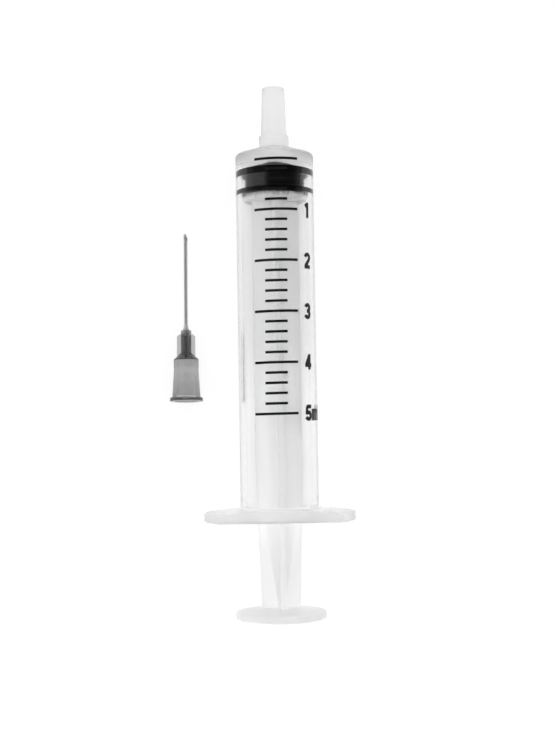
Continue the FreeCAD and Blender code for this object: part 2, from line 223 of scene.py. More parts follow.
def soft_lamp(name, place, width, height, power, mirrored=True):
    """A soft lamp that shines at the part. One that isn't mirrored shows neither in gloss nor through it."""
    data = bpy.data.lights.new(name, "AREA")
    data.shape = "RECTANGLE"
    data.size = width
    data.size_y = height
    data.energy = power
    lamp = bpy.data.objects.new(name, data)
    bpy.context.scene.collection.objects.link(lamp)
    lamp.location = place
    lamp.rotation_euler = (-Vector(place)).to_track_quat("-Z", "Y").to_euler()
    lamp.visible_camera = False
    lamp.visible_glossy = mirrored
    lamp.visible_transmission = mirrored
    data.cycles.use_multiple_importance_sampling = mirrored


SIDE_LAMP_AWAY = 0.45
SIDE_LAMP_UP = 0.20

soft_lamp("overhead_lamp", (0, 0, 0.5), 0.8, 0.8, 1.45, mirrored=False)
for name, right, forward, power in (
    ("left_lamp", -SIDE_LAMP_AWAY, 0, 0.9),
    ("right_lamp", SIDE_LAMP_AWAY, 0, 0.85),
    ("front_lamp", 0, SIDE_LAMP_AWAY, 1.0),
    ("back_lamp", 0, -SIDE_LAMP_AWAY, 0.5),
):
    soft_lamp(name, (right, forward, SIDE_LAMP_UP), 0.6, 0.4, power, mirrored=False)
soft_lamp("rear_panel", (0.02, -0.34, 0.40), 0.34, 0.26, 0.4)
soft_lamp("left_panel", (-0.30, 0.0, 0.30), 0.50, 0.40, 0.05)

CAMERA_PLACE = (2.285 * MM, -9.246 * MM, 237.54 * MM)
CAMERA_TURN = (0.0270, -0.0027, -0.0164)
CAMERA_LENS = 63.50

camera_data = bpy.data.cameras.new("camera")
camera_data.lens = CAMERA_LENS
camera_data.clip_start = 0.01
camera = bpy.data.objects.new("camera", camera_data)
bpy.context.scene.collection.objects.link(camera)
camera.location = CAMERA_PLACE
camera.rotation_euler = CAMERA_TURN
bpy.context.scene.camera = camera
bpy.context.scene.view_settings.view_transform = "Standard"

# Barrel
# One injection moulding of clear polypropylene, a little cloudy: tube, sloping shoulder, collar, luer
# nozzle, and at the open end a finger flange with two flats and a low ridge that keeps the plunger in.
# The ridge is drawn lower than in the solid, and its slopes are longer.

BORE = 12.0 * MM
BARREL_WALL = 0.9 * MM
BARREL_LENGTH = 64.65 * MM
SHOULDER_SLOPE = math.tan(math.radians(18))
BORE_END = BARREL_LENGTH - 1.45 * MM
FLANGE_WIDTH = 26.6 * MM
FLANGE_FLATS = 16.0 * MM
COLLAR_WIDTH = 5.2 * MM
COLLAR_LENGTH = 2.2 * MM
NOZZLE_TIP = 3.97 * MM
NOZZLE_LENGTH = 8.5 * MM
LUER_TAPER = 0.06
LUMEN = 2.1 * MM
RIDGE_PLACE = 3.2 * MM
RIDGE_SPREAD = 1.0 * MM
RIDGE_HEIGHT = 0.06 * MM
RIDGE_FOOT_ROUND = 2.0 * MM
RIDGE_TOP_ROUND = 4.0 * MM
BARREL_RADIUS = BORE / 2 + BARREL_WALL
ARC_STEPS = 7

mounts = {mount["name"]: mount for mount in frame["record"]["mounts"]}


def place_on(axis, origin):
    """The place of a piece whose Y axis lies along the given one, with its X axis level."""
    ahead = Vector(axis).normalized()
    aside = ahead.cross(Vector((0, 0, 1))).normalized()
    above = aside.cross(ahead)
    turn = Matrix((aside, ahead, above)).transposed().to_4x4()
    return Matrix.Translation(origin) @ turn


def rounded_outline(corners):
    """The points of an outline, from corners given as distance from the axis, place along and rounding."""
    points = []
    for index, (across, along, rounding) in enumerate(corners):
        corner = Vector((across, along))
        if not rounding:
            points.append((across, along))
            continue
        before = Vector(corners[index - 1][:2]) - corner
        after = Vector(corners[(index + 1) % len(corners)][:2]) - corner
        before.normalize()
        after.normalize()
        half = before.angle(after) / 2
        centre = corner + (before + after).normalized() * rounding / math.sin(half)
        start = corner + before * rounding / math.tan(half) - centre
        end = corner + after * rounding / math.tan(half) - centre
        sweep = start.angle_signed(end)
        for step in range(ARC_STEPS + 1):
            spoke = Matrix.Rotation(-sweep * step / ARC_STEPS, 2) @ start
            points.append(tuple(centre + spoke))
    return points


def turned(corners, sides):
    """A solid of revolution about the Y axis, from the corners of its half section."""
    solid = bmesh.new()
    rings = []
    for across, along in rounded_outline(corners):
        if across == 0:
            rings.append([solid.verts.new((0, along, 0))] * sides)
            continue
        angles = [math.tau * side / sides for side in range(sides)]
        rings.append([
            solid.verts.new((across * math.cos(angle), along, across * math.sin(angle)))
            for angle in angles
        ])
    for ring, following in zip(rings, rings[1:] + rings[:1]):
        for side in range(sides):
            around = [ring[side], ring[side - 1], following[side - 1], following[side]]
            different = list(dict.fromkeys(around))
            if len(different) > 2:
                solid.faces.new(different)
    bmesh.ops.recalc_face_normals(solid, faces=solid.faces)
    return solid


def sliced(solid, point, outward):
    """Cut away what lies beyond a plane and close the cut."""
    everything = solid.verts[:] + solid.edges[:] + solid.faces[:]
    cut = bmesh.ops.bisect_plane(
        solid, geom=everything, plane_co=point, plane_no=outward, clear_outer=True
    )
    edges = [item for item in cut["geom_cut"] if isinstance(item, bmesh.types.BMEdge)]
    bmesh.ops.holes_fill(solid, edges=edges, sides=0)


def plain_mesh(carrier):
    """The mesh that an object's modifiers give."""
    bpy.context.view_layer.update()
    depsgraph = bpy.context.evaluated_depsgraph_get()
    return bpy.data.meshes.new_from_object(carrier.evaluated_get(depsgraph))


def finished(name, solid, place, material, sharp=28):
    """Lay a solid in its place and make it an object with smooth faces, flat flats and sharp corners."""
    bmesh.ops.transform(solid, matrix=place, verts=solid.verts)
    data = bpy.data.meshes.new(name)
    solid.to_mesh(data)
    solid.free()
    data.shade_smooth()
    data.set_sharp_from_angle(angle=math.radians(sharp))
    data.materials.append(material)
    piece = bpy.data.objects.new(name, data)
    bpy.context.scene.collection.objects.link(piece)
    even = piece.modifiers.new("even_normals", "WEIGHTED_NORMAL")
    even.keep_sharp = True
    piece.data = plain_mesh(piece)
    piece.modifiers.clear()
    return piece


syringe_axis = Vector(mounts["nozzle"]["axis"])
nozzle_end = Vector(mounts["nozzle"]["pos_m"])
to_flange = syringe_axis.dot(Vector(mounts["flange_rear_face"]["pos_m"]) - nozzle_end)
syringe_place = place_on(syringe_axis, nozzle_end + syringe_axis * to_flange)

collar_start = BARREL_LENGTH + (BARREL_RADIUS - COLLAR_WIDTH / 2) * SHOULDER_SLOPE
collar_end = collar_start + COLLAR_LENGTH
nozzle_top = collar_end + NOZZLE_LENGTH
lumen_start = BORE_END + (BORE - LUMEN) / 2 * SHOULDER_SLOPE

barrel_solid = turned([
    (BORE / 2 + 0.35 * MM, 0, 0.1 * MM),
    (FLANGE_WIDTH / 2, 0, 0.3 * MM),
    (FLANGE_WIDTH / 2, 1.5 * MM, 0.3 * MM),
    (BARREL_RADIUS, 2.3 * MM, 0.5 * MM),
    (BARREL_RADIUS, BARREL_LENGTH, 0.6 * MM),
    (COLLAR_WIDTH / 2, collar_start, 0.5 * MM),
    (COLLAR_WIDTH / 2, collar_end, 0.25 * MM),
    (NOZZLE_TIP / 2 + LUER_TAPER * NOZZLE_LENGTH / 2, collar_end, 0),
    (NOZZLE_TIP / 2, nozzle_top, 0.25 * MM),
    (LUMEN / 2, nozzle_top, 0.1 * MM),
    (LUMEN / 2, lumen_start, 0.2 * MM),
    (BORE / 2, BORE_END, 0.1 * MM),
    (BORE / 2, RIDGE_PLACE + RIDGE_SPREAD, RIDGE_FOOT_ROUND),
    (BORE / 2 - RIDGE_HEIGHT, RIDGE_PLACE, RIDGE_TOP_ROUND),
    (BORE / 2, RIDGE_PLACE - RIDGE_SPREAD, RIDGE_FOOT_ROUND),
    (BORE / 2, 0.35 * MM, 0),
], 192)
for side in (1, -1):
    sliced(barrel_solid, (0, 0, side * FLANGE_FLATS / 2), (0, 0, side))


def lets_lamps_through(tree, shader, share):
    """Clear plastic that also passes a share of the lamps' light, so that what it holds is lit."""
    passed = tree.node("ShaderNodeBsdfTransparent", {}, {"Color": grey(share)})
    from_lamp = tree.node("ShaderNodeLightPath", {}, {}, "Is Shadow Ray")
    return tree.node("ShaderNodeMixShader", {}, {0: from_lamp, 1: shader, 2: passed})


# The shoulder and the flange are frosted. The front of the tube is a little greyer, as painted shade,
# which, as the frost does, follows the photograph and no measured plastic.
POLISHED = 0.08
FROSTED = 0.65
FRONT_PAINTED_SHADE = 0.06

barrel_plastic = new_material("clear_polypropylene")
tree = Tree(barrel_plastic.node_tree)
where = tree.node("ShaderNodeTexCoord", {}, {}, "Object")
flow = tree.node("ShaderNodeMapping", {"vector_type": "POINT"}, {"Vector": where, "Scale": (1, 0.12, 1)})
cloud = tree.node("ShaderNodeTexNoise", {}, {"Vector": flow, "Scale": 260.0, "Detail": 3.0})
fine = tree.node("ShaderNodeTexNoise", {}, {"Vector": where, "Scale": 2600.0, "Detail": 2.0})
tint = tree.node("ShaderNodeValToRGB", {"stops": [(0.3, 0.94), (0.7, 0.98)]}, {"Fac": cloud})
bump = tree.node("ShaderNodeBump", {}, {"Strength": 0.03, "Distance": 0.1 * MM, "Height": fine})
along = tree.node("ShaderNodeSeparateXYZ", {}, {"Vector": where}, "Y")
# The greyer front is painted shade, which darkens all that is seen through the tube's front half.
front_frost, rear_frost, painted_front_shade = (
    tree.node("ShaderNodeMapRange", {"interpolation_type": "SMOOTHSTEP"}, {
        "Value": along,
        "From Min": (syringe_place @ Vector((0, start, 0))).y,
        "From Max": (syringe_place @ Vector((0, end, 0))).y,
    })
    for start, end in ((BORE_END - 1.4 * MM, BARREL_LENGTH), (3.0 * MM, 1.6 * MM), (20 * MM, 34 * MM))
)
surface = tree.node("ShaderNodeBsdfPrincipled", {}, {
    "Base Color": tint * (1 - painted_front_shade * (1 - front_frost) * FRONT_PAINTED_SHADE),
    "Roughness": cloud * 0.06 + (front_frost + rear_frost) * FROSTED + POLISHED,
    "IOR": 1.49,
    "Transmission Weight": 1.0,
    "Normal": bump,
})
clear = lets_lamps_through(tree, surface, 0.99)
tree.node("ShaderNodeOutputMaterial", {}, {"Surface": clear})

barrel = finished("barrel_moulding", barrel_solid, syringe_place, barrel_plastic)
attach(barrel, "barrel")
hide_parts("barrel")

# Graduation
# Black ink, printed on the barrel in one pass: a mark every 0.2 ml, a longer one at each millilitre,
# and bold numerals. The print sits a little askew on the tube, as it does on a cheap moulding.

CAPACITY = 5
MARKS_PER_ML = 5
LONG_MARK = 7.85 * MM
SHORT_MARK = 3.9 * MM
MARK_WIDTH = 0.45 * MM
INK = 0.03 * MM
HOME_GAP = 0.3 * MM
PRINT_SKEW = 0.0135
ZERO_MARK = BORE_END - HOME_GAP
ML = 1000 * MM ** 3 / (math.pi * BORE ** 2 / 4)
FULL_MARK = ZERO_MARK - CAPACITY * ML

ink = new_material("printed_ink")
tree = Tree(ink.node_tree)
where = tree.node("ShaderNodeTexCoord", {}, {}, "Object")
speckle = tree.node("ShaderNodeTexNoise", {}, {"Vector": where, "Scale": 5200.0, "Detail": 2.0})
shade = tree.node("ShaderNodeValToRGB", {"stops": [(0.35, 0.005), (0.75, 0.016)]}, {"Fac": speckle})
bump = tree.node("ShaderNodeBump", {}, {"Strength": 0.1, "Distance": 0.01 * MM, "Height": speckle})
surface = tree.node("ShaderNodeBsdfPrincipled", {}, {
    "Base Color": shade,
    "Roughness": speckle * 0.2 + 0.35,
    "Specular IOR Level": 0.2,
    "Normal": bump,
})
tree.node("ShaderNodeOutputMaterial", {}, {"Surface": surface})


def marks_tree():
    """The nodes that print the marks flat, set them askew and wrap them round the barrel."""
    group = bpy.data.node_groups.new("printed_marks", "GeometryNodeTree")
    group.interface.new_socket("Geometry", in_out="OUTPUT", socket_type="NodeSocketGeometry")
    sizes = {}
    for name, kind in (
        ("Barrel radius", "NodeSocketFloat"),
        ("Full mark", "NodeSocketFloat"),
        ("Millilitre", "NodeSocketFloat"),
        ("Capacity", "NodeSocketInt"),
        ("Marks per millilitre", "NodeSocketInt"),
        ("Long mark", "NodeSocketFloat"),
        ("Short mark", "NodeSocketFloat"),
        ("Mark width", "NodeSocketFloat"),
        ("Ink thickness", "NodeSocketFloat"),
        ("Skew", "NodeSocketFloat"),
        ("Ink", "NodeSocketMaterial"),
    ):
        sizes[name] = group.interface.new_socket(name, in_out="INPUT", socket_type=kind).identifier
    tree = Tree(group)
    given = {name: tree.node("NodeGroupInput", {}, {}, name) for name in sizes}

    def row_of_marks(count, step, length, wanted):
        """A row of equal marks along the barrel, where only the wanted places get one."""
        offset = tree.node("ShaderNodeCombineXYZ", {}, {"Y": step})
        row = tree.node("GeometryNodeMeshLine", {"mode": "OFFSET"}, {"Count": count, "Offset": offset})
        size = tree.node("ShaderNodeCombineXYZ", {}, {
            "X": length,
            "Y": given["Mark width"],
            "Z": given["Ink thickness"],
        })
        strip = tree.node("GeometryNodeMeshCube", {}, {"Size": size, "Vertices X": 33})
        return tree.node("GeometryNodeInstanceOnPoints", {}, {
            "Points": row,
            "Selection": wanted,
            "Instance": strip,
        })

    number = tree.node("GeometryNodeInputIndex", {}, {})
    between = tree.node("FunctionNodeCompare", {"data_type": "FLOAT", "operation": "GREATER_THAN"}, {
        0: number % given["Marks per millilitre"],
        1: 0.5,
    })
    every = tree.node("FunctionNodeInputBool", {"boolean": True}, {})
    marks = tree.node("GeometryNodeJoinGeometry", {}, {0: row_of_marks(
        given["Capacity"] * given["Marks per millilitre"] + 1,
        given["Millilitre"] / given["Marks per millilitre"],
        given["Short mark"],
        between,
    )})
    long_marks = row_of_marks(given["Capacity"] + 1, given["Millilitre"], given["Long mark"], every)
    tree.tree.links.new(long_marks.output, marks.output.node.inputs[0])
    loose = tree.node("GeometryNodeRealizeInstances", {}, {"Geometry": marks})

    half_scale = given["Capacity"] * given["Millilitre"] * 0.5
    flat = tree.node("GeometryNodeInputPosition", {}, {})
    across, along, above = (
        tree.node("ShaderNodeSeparateXYZ", {}, {"Vector": flat}, name) for name in "XYZ"
    )
    leaning = across + (along - half_scale) * given["Skew"]
    tilted = along + across * given["Skew"]
    angle = leaning / given["Barrel radius"]
    out = above + given["Barrel radius"] + given["Ink thickness"] * 0.5
    sine = tree.node("ShaderNodeMath", {"operation": "SINE"}, {0: angle})
    cosine = tree.node("ShaderNodeMath", {"operation": "COSINE"}, {0: angle})
    wrapped = tree.node("ShaderNodeCombineXYZ", {}, {
        "X": out * sine,
        "Y": tilted + given["Full mark"],
        "Z": out * cosine,
    })
    on_barrel = tree.node("GeometryNodeSetPosition", {}, {"Geometry": loose, "Position": wrapped})
    inked = tree.node("GeometryNodeSetMaterial", {}, {"Geometry": on_barrel, "Material": given["Ink"]})
    tree.node("NodeGroupOutput", {}, {"Geometry": inked})
    return group, sizes


marks_group, marks_inputs = marks_tree()
carrier = bpy.data.objects.new("marks_carrier", bpy.data.meshes.new("marks_carrier"))
bpy.context.scene.collection.objects.link(carrier)
printer = carrier.modifiers.new("printed_marks", "NODES")
printer.node_group = marks_group
for name, value in {
    "Barrel radius": BARREL_RADIUS,
    "Full mark": FULL_MARK,
    "Millilitre": ML,
    "Capacity": CAPACITY,
    "Marks per millilitre": MARKS_PER_ML,
    "Long mark": LONG_MARK,
    "Short mark": SHORT_MARK,
    "Mark width": MARK_WIDTH,
    "Ink thickness": INK,
    "Skew": PRINT_SKEW,
    "Ink": ink,
}.items():
    printer[marks_inputs[name]] = value
marks_data = plain_mesh(carrier)
bpy.data.objects.remove(carrier)
marks_data.transform(syringe_place)
marks = bpy.data.objects.new("printed_marks", marks_data)
bpy.context.scene.collection.objects.link(marks)
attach(marks, "barrel")
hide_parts("graduation")

NUMERAL_HEIGHT = 2.7 * MM
NUMERAL_START = 5.4 * MM
STROKE = 0.25 * NUMERAL_HEIGHT
SLICE = 0.15 * MM


def bow(across, along, radius, first, last):
    """Points of an arc about a centre, from one angle to another, in degrees."""
    steps = 10
    angles = [math.radians(first + (last - first) * step / steps) for step in range(steps + 1)]
    return [(across + radius * math.cos(angle), along + radius * math.sin(angle)) for angle in angles]


# The pen's path in each sign, in heights of a numeral.
SIGNS = {
    "1": [[(0.12, 0.74), (0.36, 0.90)], [(0.36, 0.0), (0.36, 1.0)]],
    "2": [bow(0.31, 0.69, 0.215, 170, -25) + [(0.13, 0.15)], [(0.03, 0.095), (0.60, 0.095)]],
    "3": [
        bow(0.29, 0.71, 0.195, 165, -90) + [(0.22, 0.515)],
        [(0.22, 0.515)] + bow(0.29, 0.305, 0.21, 90, -165),
    ],
    "4": [[(0.44, 0.96), (0.12, 0.31)], [(0.03, 0.29), (0.66, 0.29)], [(0.44, 0.0), (0.44, 1.0)]],
    "5": [
        [(0.60, 0.905), (0.14, 0.905)],
        [(0.19, 0.93), (0.13, 0.50)] + bow(0.31, 0.315, 0.22, 130, -160),
    ],
    "m": [
        [(0.12, 0.0), (0.12, 0.74)],
        bow(0.31, 0.46, 0.19, 170, 0) + [(0.50, 0.0)],
        bow(0.69, 0.46, 0.19, 170, 0) + [(0.88, 0.0)],
    ],
    "l": [[(0.10, 0.0), (0.10, 1.0)]],
}
ADVANCE = {"1": 0.6, "2": 0.68, "3": 0.66, "4": 0.74, "5": 0.70, "m": 1.05, "l": 0.2}


def printed(text, along):
    """Numerals in bold strokes of ink, wrapped round the barrel with their middle at a place along it."""
    nib = bpy.data.curves.new("nib", "CURVE")
    nib_line = nib.splines.new("POLY")
    nib_line.points.add(3)
    corners = [(-1, -1), (1, -1), (1, 1), (-1, 1)]
    for point, (wide, thick) in zip(nib_line.points, corners):
        point.co = (wide * STROKE / 2, thick * INK / 2, 0, 1)
    nib_line.use_cyclic_u = True
    nib_holder = bpy.data.objects.new("nib", nib)
    curve = bpy.data.curves.new("numeral", "CURVE")
    curve.dimensions = "3D"
    curve.bevel_mode = "OBJECT"
    curve.bevel_object = nib_holder
    curve.use_fill_caps = True
    pen = 0.0
    for sign in text:
        for stroke in SIGNS[sign]:
            line = curve.splines.new("POLY")
            line.points.add(len(stroke) - 1)
            for point, (right, up) in zip(line.points, stroke):
                point.co = ((pen + right) * NUMERAL_HEIGHT, (up - 0.5) * NUMERAL_HEIGHT, 0, 1)
        pen += ADVANCE[sign]
    holder = bpy.data.objects.new("numeral", curve)
    bpy.context.scene.collection.objects.link(holder)
    shape = bmesh.new()
    shape.from_mesh(plain_mesh(holder))
    bpy.data.objects.remove(holder)
    bpy.data.objects.remove(nib_holder)
    for cut in range(1, int(pen * NUMERAL_HEIGHT / SLICE) + 1):
        everything = shape.verts[:] + shape.edges[:] + shape.faces[:]
        bmesh.ops.bisect_plane(shape, geom=everything, plane_co=(cut * SLICE, 0, 0), plane_no=(1, 0, 0))
    bmesh.ops.recalc_face_normals(shape, faces=shape.faces)
    middle = (ZERO_MARK + FULL_MARK) / 2
    for vert in shape.verts:
        right = NUMERAL_START + vert.co.x
        up = along + vert.co.y
        angle = (right + (up - middle) * PRINT_SKEW) / BARREL_RADIUS
        out = BARREL_RADIUS + INK / 2 + vert.co.z
        vert.co = (out * math.sin(angle), up + right * PRINT_SKEW, out * math.cos(angle))
    return shape


numerals_shape = bmesh.new()
for millilitre in range(1, CAPACITY + 1):
    text = f"{millilitre}ml" if millilitre == CAPACITY else str(millilitre)
    one = printed(text, ZERO_MARK - millilitre * ML)
    one_data = bpy.data.meshes.new("one_numeral")
    one.to_mesh(one_data)
    one.free()
    numerals_shape.from_mesh(one_data)
numerals = finished("printed_numerals", numerals_shape, syringe_place, ink)
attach(numerals, "barrel")

# Stopper
# Black rubber, pressed a little into the bore by its two sealing rings, so that it shows through the wall
# with no air between. Its nose is a flat cone, and a round socket behind holds the rod's head. The front
# ring is drawn wider than in the solid, towards the waist, and the ring corners are sharper.

STOPPER_LENGTH = 4.3 * MM
RING_LAND = 0.85 * MM
FRONT_LAND = 1.15 * MM
RING_SLOPE = 0.3 * MM
RING_PRESS = 0.02 * MM
WAIST_WIDTH = 10.5 * MM
NOSE_TIP = 2.4 * MM
DOSE = 0.12
NECK_WIDTH = 4.0 * MM
NECK_LENGTH = 1.3 * MM
HEAD_WIDTH = 5.4 * MM
HEAD_LENGTH = 1.6 * MM
SNAP_GAP = 0.1 * MM
SNAP_CLEARANCE = 0.06 * MM

ring_radius = BORE / 2 + RING_PRESS
stopper_rear = ZERO_MARK - DOSE * ML - STOPPER_LENGTH
lip = NECK_LENGTH - 2 * SNAP_GAP
chamber_end = lip + HEAD_LENGTH + 2 * SNAP_GAP
nose_end = STOPPER_LENGTH + (ring_radius - NOSE_TIP / 2) * SHOULDER_SLOPE
entry = NECK_WIDTH / 2 + SNAP_CLEARANCE
chamber = HEAD_WIDTH / 2 + SNAP_CLEARANCE

stopper_solid = turned([
    (entry, 0, 0.1 * MM),
    (ring_radius, 0, 0.06 * MM),
    (ring_radius, RING_LAND, 0.06 * MM),
    (WAIST_WIDTH / 2, RING_LAND + RING_SLOPE, 0.1 * MM),
    (WAIST_WIDTH / 2, STOPPER_LENGTH - FRONT_LAND - RING_SLOPE, 0.1 * MM),
    (ring_radius, STOPPER_LENGTH - FRONT_LAND, 0.06 * MM),
    (ring_radius, STOPPER_LENGTH, 0.1 * MM),
    (NOSE_TIP / 2, nose_end, 0.2 * MM),
    (0, nose_end, 0),
    (0, chamber_end, 0),
    (chamber, chamber_end, 0),
    (chamber, lip, 0),
    (entry, lip, 0),
], 160)

rubber = new_material("black_rubber")
tree = Tree(rubber.node_tree)
where = tree.node("ShaderNodeTexCoord", {}, {}, "Object")
grain = tree.node("ShaderNodeTexNoise", {}, {"Vector": where, "Scale": 3400.0, "Detail": 3.0})
bloom = tree.node("ShaderNodeTexNoise", {}, {"Vector": where, "Scale": 420.0, "Detail": 2.0})
shade = tree.node("ShaderNodeValToRGB", {"stops": [(0.3, 0.001), (0.8, 0.003)]}, {"Fac": bloom})
bump = tree.node("ShaderNodeBump", {}, {"Strength": 0.12, "Distance": 0.02 * MM, "Height": grain})
surface = tree.node("ShaderNodeBsdfPrincipled", {}, {
    "Base Color": shade,
    "Roughness": bloom * 0.15 + 0.4,
    "Specular IOR Level": 0.03,
    "Normal": bump,
})
tree.node("ShaderNodeOutputMaterial", {}, {"Surface": surface})

stopper_place = syringe_place @ Matrix.Translation((0, stopper_rear, 0))
stopper = finished("rubber_stopper", stopper_solid, stopper_place, rubber)
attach(stopper, "stopper")
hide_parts("stopper")

# Plunger rod
# One moulding of natural polypropylene, milkier than the barrel because its ribs are thick: round thumb
# press with three grip rings behind, four crossed ribs that widen forwards, a disc, and a snap head.


def smoothed_copy(node, name, material, sharp=28):
    """A copy of a node's mesh with its loose triangles joined, smooth faces and sharp corners."""
    solid = bmesh.new()
    solid.from_mesh(frame["nodes"][node].data)
    bmesh.ops.remove_doubles(solid, verts=solid.verts, dist=0.0005 * MM)
    return finished(name, solid, Matrix.Identity(4), material, sharp)


# Painted shade: the rod gets greyer towards the press, at places along world Y, as far as the photograph
# asks.
PAINTED_SHADE_FROM = -20 * MM
PAINTED_SHADE_FULL = -40 * MM
PRESS_PAINTED_SHADE = 0.18

rod_plastic = new_material("natural_polypropylene")
tree = Tree(rod_plastic.node_tree)
where = tree.node("ShaderNodeTexCoord", {}, {}, "Object")
flow = tree.node("ShaderNodeMapping", {"vector_type": "POINT"}, {"Vector": where, "Scale": (1, 0.2, 1)})
cloud = tree.node("ShaderNodeTexNoise", {}, {"Vector": flow, "Scale": 320.0, "Detail": 3.0})
fine = tree.node("ShaderNodeTexNoise", {}, {"Vector": where, "Scale": 2200.0, "Detail": 2.0})
tint = tree.node("ShaderNodeValToRGB", {"stops": [(0.3, 0.97), (0.7, 1.0)]}, {"Fac": cloud})
bump = tree.node("ShaderNodeBump", {}, {"Strength": 0.05, "Distance": 0.1 * MM, "Height": fine})
along = tree.node("ShaderNodeSeparateXYZ", {}, {"Vector": where}, "Y")
# Painted shade towards the press, which darkens the rod's base colour.
painted_shade_near_press = tree.node("ShaderNodeMapRange", {"interpolation_type": "SMOOTHSTEP"}, {
    "Value": along,
    "From Min": PAINTED_SHADE_FROM,
    "From Max": PAINTED_SHADE_FULL,
})
surface = tree.node("ShaderNodeBsdfPrincipled", {}, {
    "Base Color": tint * (1 - painted_shade_near_press * PRESS_PAINTED_SHADE),
    "Roughness": cloud * 0.1 + 0.35,
    "IOR": 1.49,
    "Transmission Weight": 0.12,
    "Subsurface Weight": 1.0,
    "Subsurface Radius": (1.0, 1.0, 1.0),
    "Subsurface Scale": 1.5 * MM,
    "Normal": bump,
})
milky = lets_lamps_through(tree, surface, 0.97)
tree.node("ShaderNodeOutputMaterial", {}, {"Surface": milky})

rod = smoothed_copy("plunger_rod", "plunger_moulding", rod_plastic)
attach(rod, "plunger_rod")
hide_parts("plunger_rod")

# Needle hub
# A small moulding of smoke-grey clear plastic: a tapered socket that wedges on the nozzle, a thin rim with
# two flats, a plain band, a flare, and a nose that holds the cannula between four fins.

SOCKET_MOUTH = 4.3 * MM
SOCKET_DEPTH = 7.5 * MM
FUNNEL_END = SOCKET_DEPTH + 0.7 * MM
RIM_WIDTH = 6.0 * MM
RIM_FLATS = 5.7 * MM
RIM_END = 0.55 * MM
SOCKET_FOOT_WIDTH = 5.1 * MM
SOCKET_FOOT = 0.9 * MM
SOCKET_TOP_WIDTH = 4.45 * MM
SOCKET_LENGTH = 6.0 * MM
BAND_WIDTH = 4.55 * MM
BAND_END = SOCKET_LENGTH + 1.6 * MM
FLARE_END = BAND_END + 1.2 * MM
HUB_NOSE = 1.9 * MM
HUB_LENGTH = 12.9 * MM
GLUE_WELL = 1.3 * MM
GLUE_DEPTH = 1.4 * MM
CANNULA_WIDTH = 0.72 * MM
CANNULA_GRIP = 0.008 * MM
FIN_SPAN = 3.3 * MM
FIN_THICKNESS = 0.5 * MM
FIN_TOP = HUB_LENGTH - 0.75 * MM
FIN_CORNER = 0.4 * MM
FIN_BITE = 0.2 * MM


def slab(corners, thickness):
    """A flat plate in the XY plane, with the given corners and half of its thickness on each side."""
    plate = bmesh.new()
    near = [plate.verts.new((across, along, -thickness / 2)) for across, along in corners]
    far = [plate.verts.new((across, along, thickness / 2)) for across, along in corners]
    plate.faces.new(near)
    plate.faces.new(far)
    for index in range(len(corners)):
        plate.faces.new((near[index - 1], near[index], far[index], far[index - 1]))
    bmesh.ops.recalc_face_normals(plate, faces=plate.faces)
    return plate


def joined(base, others, operation):
    """One solid made from another by adding or cutting solids."""
    def loose(solid):
        data = bpy.data.meshes.new("loose")
        solid.to_mesh(data)
        solid.free()
        holder = bpy.data.objects.new("loose", data)
        bpy.context.scene.collection.objects.link(holder)
        return holder
    body = loose(base)
    tools = [loose(other) for other in others]
    for tool in tools:
        change = body.modifiers.new("change", "BOOLEAN")
        change.object = tool
        change.operation = operation
        change.solver = "EXACT"
    result = bmesh.new()
    result.from_mesh(plain_mesh(body))
    for holder in [body] + tools:
        bpy.data.objects.remove(holder)
    return result


hub_solid = turned([
    (SOCKET_MOUTH / 2, 0, 0.05 * MM),
    (RIM_WIDTH / 2, 0, 0.1 * MM),
    (RIM_WIDTH / 2, RIM_END, 0.1 * MM),
    (SOCKET_FOOT_WIDTH / 2, SOCKET_FOOT, 0.1 * MM),
    (SOCKET_TOP_WIDTH / 2, SOCKET_LENGTH, 0),
    (BAND_WIDTH / 2, SOCKET_LENGTH, 0),
    (BAND_WIDTH / 2, BAND_END, 0.15 * MM),
    (HUB_NOSE / 2, FLARE_END, 0.15 * MM),
    (HUB_NOSE / 2, HUB_LENGTH, 0.15 * MM),
    (GLUE_WELL / 2, HUB_LENGTH, 0),
    (CANNULA_WIDTH / 2 - CANNULA_GRIP, HUB_LENGTH - GLUE_DEPTH, 0),
    (CANNULA_WIDTH / 2 - CANNULA_GRIP, FUNNEL_END, 0),
    (SOCKET_MOUTH / 2 - LUER_TAPER * SOCKET_DEPTH / 2, SOCKET_DEPTH, 0.1 * MM),
], 96)
for side in (1, -1):
    sliced(hub_solid, (0, 0, side * RIM_FLATS / 2), (0, 0, side))
fins = []
for quarter in range(4):
    fin = slab([
        (HUB_NOSE / 2 - FIN_BITE, FLARE_END),
        (FIN_SPAN / 2, BAND_END + FIN_BITE),
        (FIN_SPAN / 2, FIN_TOP - FIN_CORNER),
        (FIN_SPAN / 2 - FIN_CORNER, FIN_TOP),
        (HUB_NOSE / 2 - FIN_BITE, FIN_TOP),
    ], FIN_THICKNESS)
    turn = Matrix.Rotation(math.tau * quarter / 4, 4, "Y")
    bmesh.ops.transform(fin, matrix=turn, verts=fin.verts)
    fins.append(fin)
hub_solid = joined(hub_solid, fins, "UNION")

hub_plastic = new_material("smoke_plastic")
tree = Tree(hub_plastic.node_tree)
where = tree.node("ShaderNodeTexCoord", {}, {}, "Object")
cloud = tree.node("ShaderNodeTexNoise", {}, {"Vector": where, "Scale": 900.0, "Detail": 3.0})
tint = tree.node("ShaderNodeValToRGB", {"stops": [(0.3, 0.94), (0.7, 0.98)]}, {"Fac": cloud})
bump = tree.node("ShaderNodeBump", {}, {"Strength": 0.04, "Distance": 0.05 * MM, "Height": cloud})
surface = tree.node("ShaderNodeBsdfPrincipled", {}, {
    "Base Color": tint,
    "Roughness": cloud * 0.1 + 0.1,
    "IOR": 1.5,
    "Transmission Weight": 0.97,
    "Normal": bump,
})
smoky = lets_lamps_through(tree, surface, 0.95)
smoke = tree.node("ShaderNodeVolumeAbsorption", {}, {"Color": grey(0.0), "Density": 1150.0})
tree.node("ShaderNodeOutputMaterial", {}, {"Surface": smoky, "Volume": smoke})

